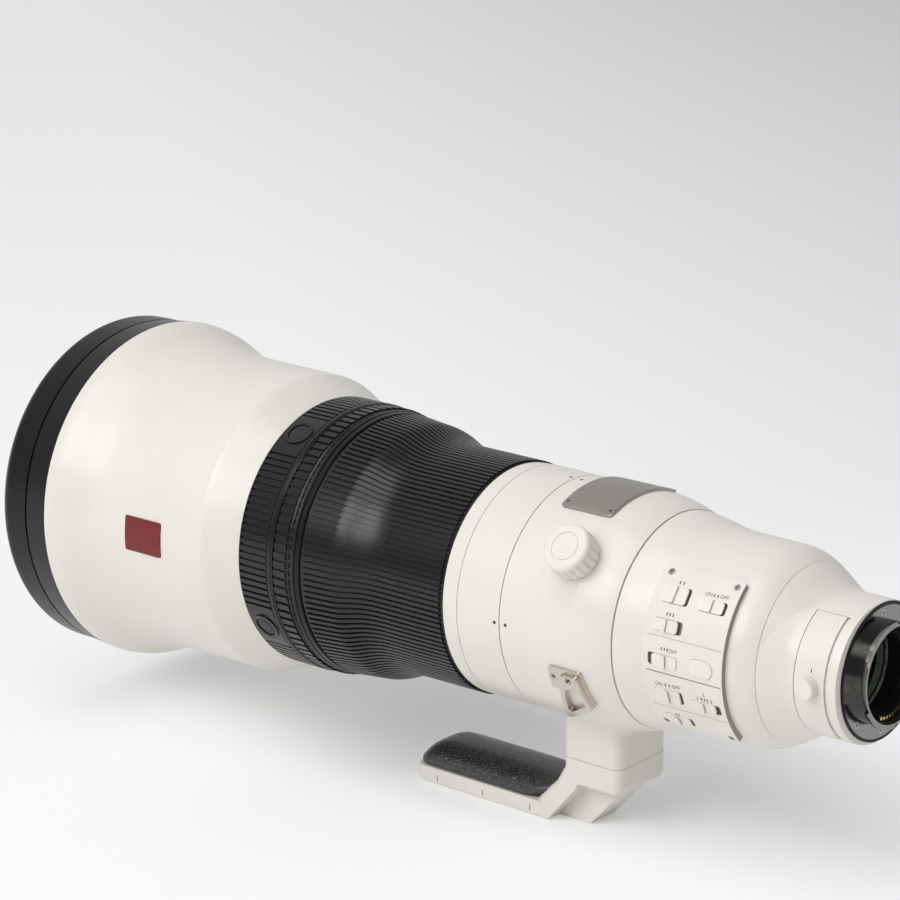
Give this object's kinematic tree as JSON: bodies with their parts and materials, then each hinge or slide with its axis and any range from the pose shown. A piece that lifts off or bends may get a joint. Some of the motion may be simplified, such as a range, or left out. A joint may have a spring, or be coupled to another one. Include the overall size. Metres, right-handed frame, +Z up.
{
  "type": "super telephoto lens",
  "caption": "Long white super telephoto lens with a turning tripod collar and foot, ribbed rings, a switch panel and a drop-in filter holder.",
  "frame": {"origin": "centre of the camera mount's flange face, on the optical axis", "axes": "+X along the optical axis towards the camera, so the front element looks along -X; +Z up, with the foot at -Z; the switch panel faces -Y"},
  "size_m": [0.4554, 0.1636, 0.1838],
  "materials": {
    "white_enamel": "satin",
    "black_enamel": "satin",
    "black_anodised": "matte",
    "bare_aluminium": "satin",
    "red_tile": "gloss",
    "glass": "polished",
    "filter_glass": "polished",
    "ribbed_rubber": "matte",
    "gasket_rubber": "matte",
    "foot_leather": "satin",
    "name_plate_metal": "satin",
    "lug_metal": "satin",
    "screw_steel": "satin",
    "knob_plastic": "satin",
    "switch_plastic": "satin",
    "button_rubber": "satin",
    "panel_plastic": "satin",
    "white_plastic": "satin",
    "mount_steel": "polished",
    "black_plastic": "matte",
    "gold": "polished",
    "magnet": "satin",
    "blade_steel": "matte",
    "rod_steel": "polished",
    "board_green": "satin"
  },
  "bodies": {
    "barrel": {"front_ring": "black_enamel", "front_band": "black_enamel", "front_barrel": "white_enamel", "red_badge": "red_tile", "front_element": "glass", "front_cell": "black_anodised", "retaining_ring": "black_anodised", "main_tube": "bare_aluminium", "second_element": "glass", "third_element": "glass", "button_ring": "ribbed_rubber", "spacer_ring": "black_anodised", "collar_seat": "white_enamel", "rear_barrel": "white_enamel", "switch_panel": "panel_plastic", "panel_screws": "screw_steel", "filter_housing": "white_enamel", "mount_gasket": "gasket_rubber", "mount_flange": "mount_steel", "mount_screws": "screw_steel", "rear_baffle": "black_anodised", "contact_block": "black_plastic", "contact_pins": "gold", "guide_rods": "rod_steel", "focus_magnets": "magnet", "iris_housing": "black_anodised", "iris_blades": "blade_steel", "stabiliser_housing": "black_anodised", "circuit_board": "board_green"},
    "function_ring": {"function_ring": "ribbed_rubber"},
    "focus_ring": {"focus_ring_core": "bare_aluminium", "focus_grip": "ribbed_rubber"},
    "tripod_collar": {"tripod_collar": "white_enamel", "tripod_foot": "white_enamel", "foot_pad": "foot_leather", "foot_screws": "screw_steel", "name_plate": "name_plate_metal", "collar_screws": "screw_steel", "strap_lugs": "lug_metal"},
    "lock_knob": {"lock_knob": "knob_plastic"},
    "set_button": {"set_button": "switch_plastic"},
    "filter_holder": {"filter_holder": "white_plastic", "filter_glass": "filter_glass"},
    "filter_knob": {"filter_knob": "white_plastic"},
    "focus_carriage": {"focus_carriage": "black_anodised", "focus_element": "glass"},
    "stabiliser_yaw_frame": {"stabiliser_yaw_frame": "bare_aluminium"},
    "stabiliser_cell": {"stabiliser_cell": "black_anodised", "stabiliser_element": "glass"},
    "focus_hold_button_1": {"focus_hold_button_1": "button_rubber"},
    "focus_hold_button_2": {"focus_hold_button_2": "button_rubber"},
    "focus_hold_button_3": {"focus_hold_button_3": "button_rubber"},
    "focus_hold_button_4": {"focus_hold_button_4": "button_rubber"},
    "af_mf_switch": {"af_mf_switch": "switch_plastic"},
    "full_time_focus_switch": {"full_time_focus_switch": "switch_plastic"},
    "range_limit_switch": {"range_limit_switch": "switch_plastic"},
    "function_switch": {"function_switch": "switch_plastic"},
    "stabiliser_switch": {"stabiliser_switch": "switch_plastic"},
    "mode_switch": {"mode_switch": "switch_plastic"},
    "beep_switch": {"beep_switch": "switch_plastic"}
  },
  "joints": [
    {"name": "collar_turn", "type": "hinge", "parent": "barrel", "child": "tripod_collar", "pos_m": [-0.1311, 0, 0], "axis": [1, 0, 0], "continuous": true},
    {"name": "lock_knob_turn", "type": "hinge", "parent": "tripod_collar", "child": "lock_knob", "pos_m": [-0.1264, -0.04494, 0.03745], "axis": [0, -0.7683, 0.6401], "range_deg": [0, 360]},
    {"name": "focus_ring_turn", "type": "hinge", "parent": "barrel", "child": "focus_ring", "pos_m": [-0.2305, 0, 0], "axis": [1, 0, 0], "continuous": true},
    {"name": "function_ring_turn", "type": "hinge", "parent": "barrel", "child": "function_ring", "pos_m": [-0.2784, 0, 0], "axis": [1, 0, 0], "range_deg": [-20, 20], "stiffness_Nm_per_rad": 0.4},
    {"name": "focus_hold_press_1", "type": "slide", "parent": "barrel", "child": "focus_hold_button_1", "axis": [0, -0.8771, -0.4802], "range_m": [0, 0.0008], "stiffness_N_per_m": 800},
    {"name": "focus_hold_press_2", "type": "slide", "parent": "barrel", "child": "focus_hold_button_2", "axis": [0, 0.4802, -0.8771], "range_m": [0, 0.0008], "stiffness_N_per_m": 800},
    {"name": "focus_hold_press_3", "type": "slide", "parent": "barrel", "child": "focus_hold_button_3", "axis": [0, 0.8771, 0.4802], "range_m": [0, 0.0008], "stiffness_N_per_m": 800},
    {"name": "focus_hold_press_4", "type": "slide", "parent": "barrel", "child": "focus_hold_button_4", "axis": [0, -0.4802, 0.8771], "range_m": [0, 0.0008], "stiffness_N_per_m": 800},
    {"name": "af_mf_slide", "type": "slide", "parent": "barrel", "child": "af_mf_switch", "axis": [1, 0, 0], "range_m": [0, 0.0012]},
    {"name": "full_time_focus_slide", "type": "slide", "parent": "barrel", "child": "full_time_focus_switch", "axis": [1, 0, 0], "range_m": [0, 0.0012]},
    {"name": "range_limit_slide", "type": "slide", "parent": "barrel", "child": "range_limit_switch", "axis": [1, 0, 0], "range_m": [0, 0.0022]},
    {"name": "function_slide", "type": "slide", "parent": "barrel", "child": "function_switch", "axis": [1, 0, 0], "range_m": [-0.0022, 0]},
    {"name": "stabiliser_slide", "type": "slide", "parent": "barrel", "child": "stabiliser_switch", "axis": [1, 0, 0], "range_m": [0, 0.0012]},
    {"name": "mode_slide", "type": "slide", "parent": "barrel", "child": "mode_switch", "axis": [1, 0, 0], "range_m": [0, 0.0022]},
    {"name": "beep_slide", "type": "slide", "parent": "barrel", "child": "beep_switch", "axis": [1, 0, 0], "range_m": [0, 0.0012]},
    {"name": "set_press", "type": "slide", "parent": "barrel", "child": "set_button", "axis": [0, 0.9998, -0.0175], "range_m": [0, 0.0006], "stiffness_N_per_m": 800},
    {"name": "filter_holder_pull", "type": "slide", "parent": "barrel", "child": "filter_holder", "axis": [0, -1, 0], "range_m": [0, 0.06]},
    {"name": "filter_knob_turn", "type": "hinge", "parent": "filter_holder", "child": "filter_knob", "pos_m": [-0.0127, -0.0357, 0], "axis": [0, -1, 0], "range_deg": [0, 90]},
    {"name": "focus_travel", "type": "slide", "parent": "barrel", "child": "focus_carriage", "axis": [1, 0, 0], "range_m": [-0.006, 0.006]},
    {"name": "stabiliser_sideways", "type": "slide", "parent": "barrel", "child": "stabiliser_yaw_frame", "axis": [0, 1, 0], "range_m": [-0.001, 0.001]},
    {"name": "stabiliser_up_down", "type": "slide", "parent": "stabiliser_yaw_frame", "child": "stabiliser_cell", "axis": [0, 0, 1], "range_m": [-0.001, 0.001]}
  ]
}
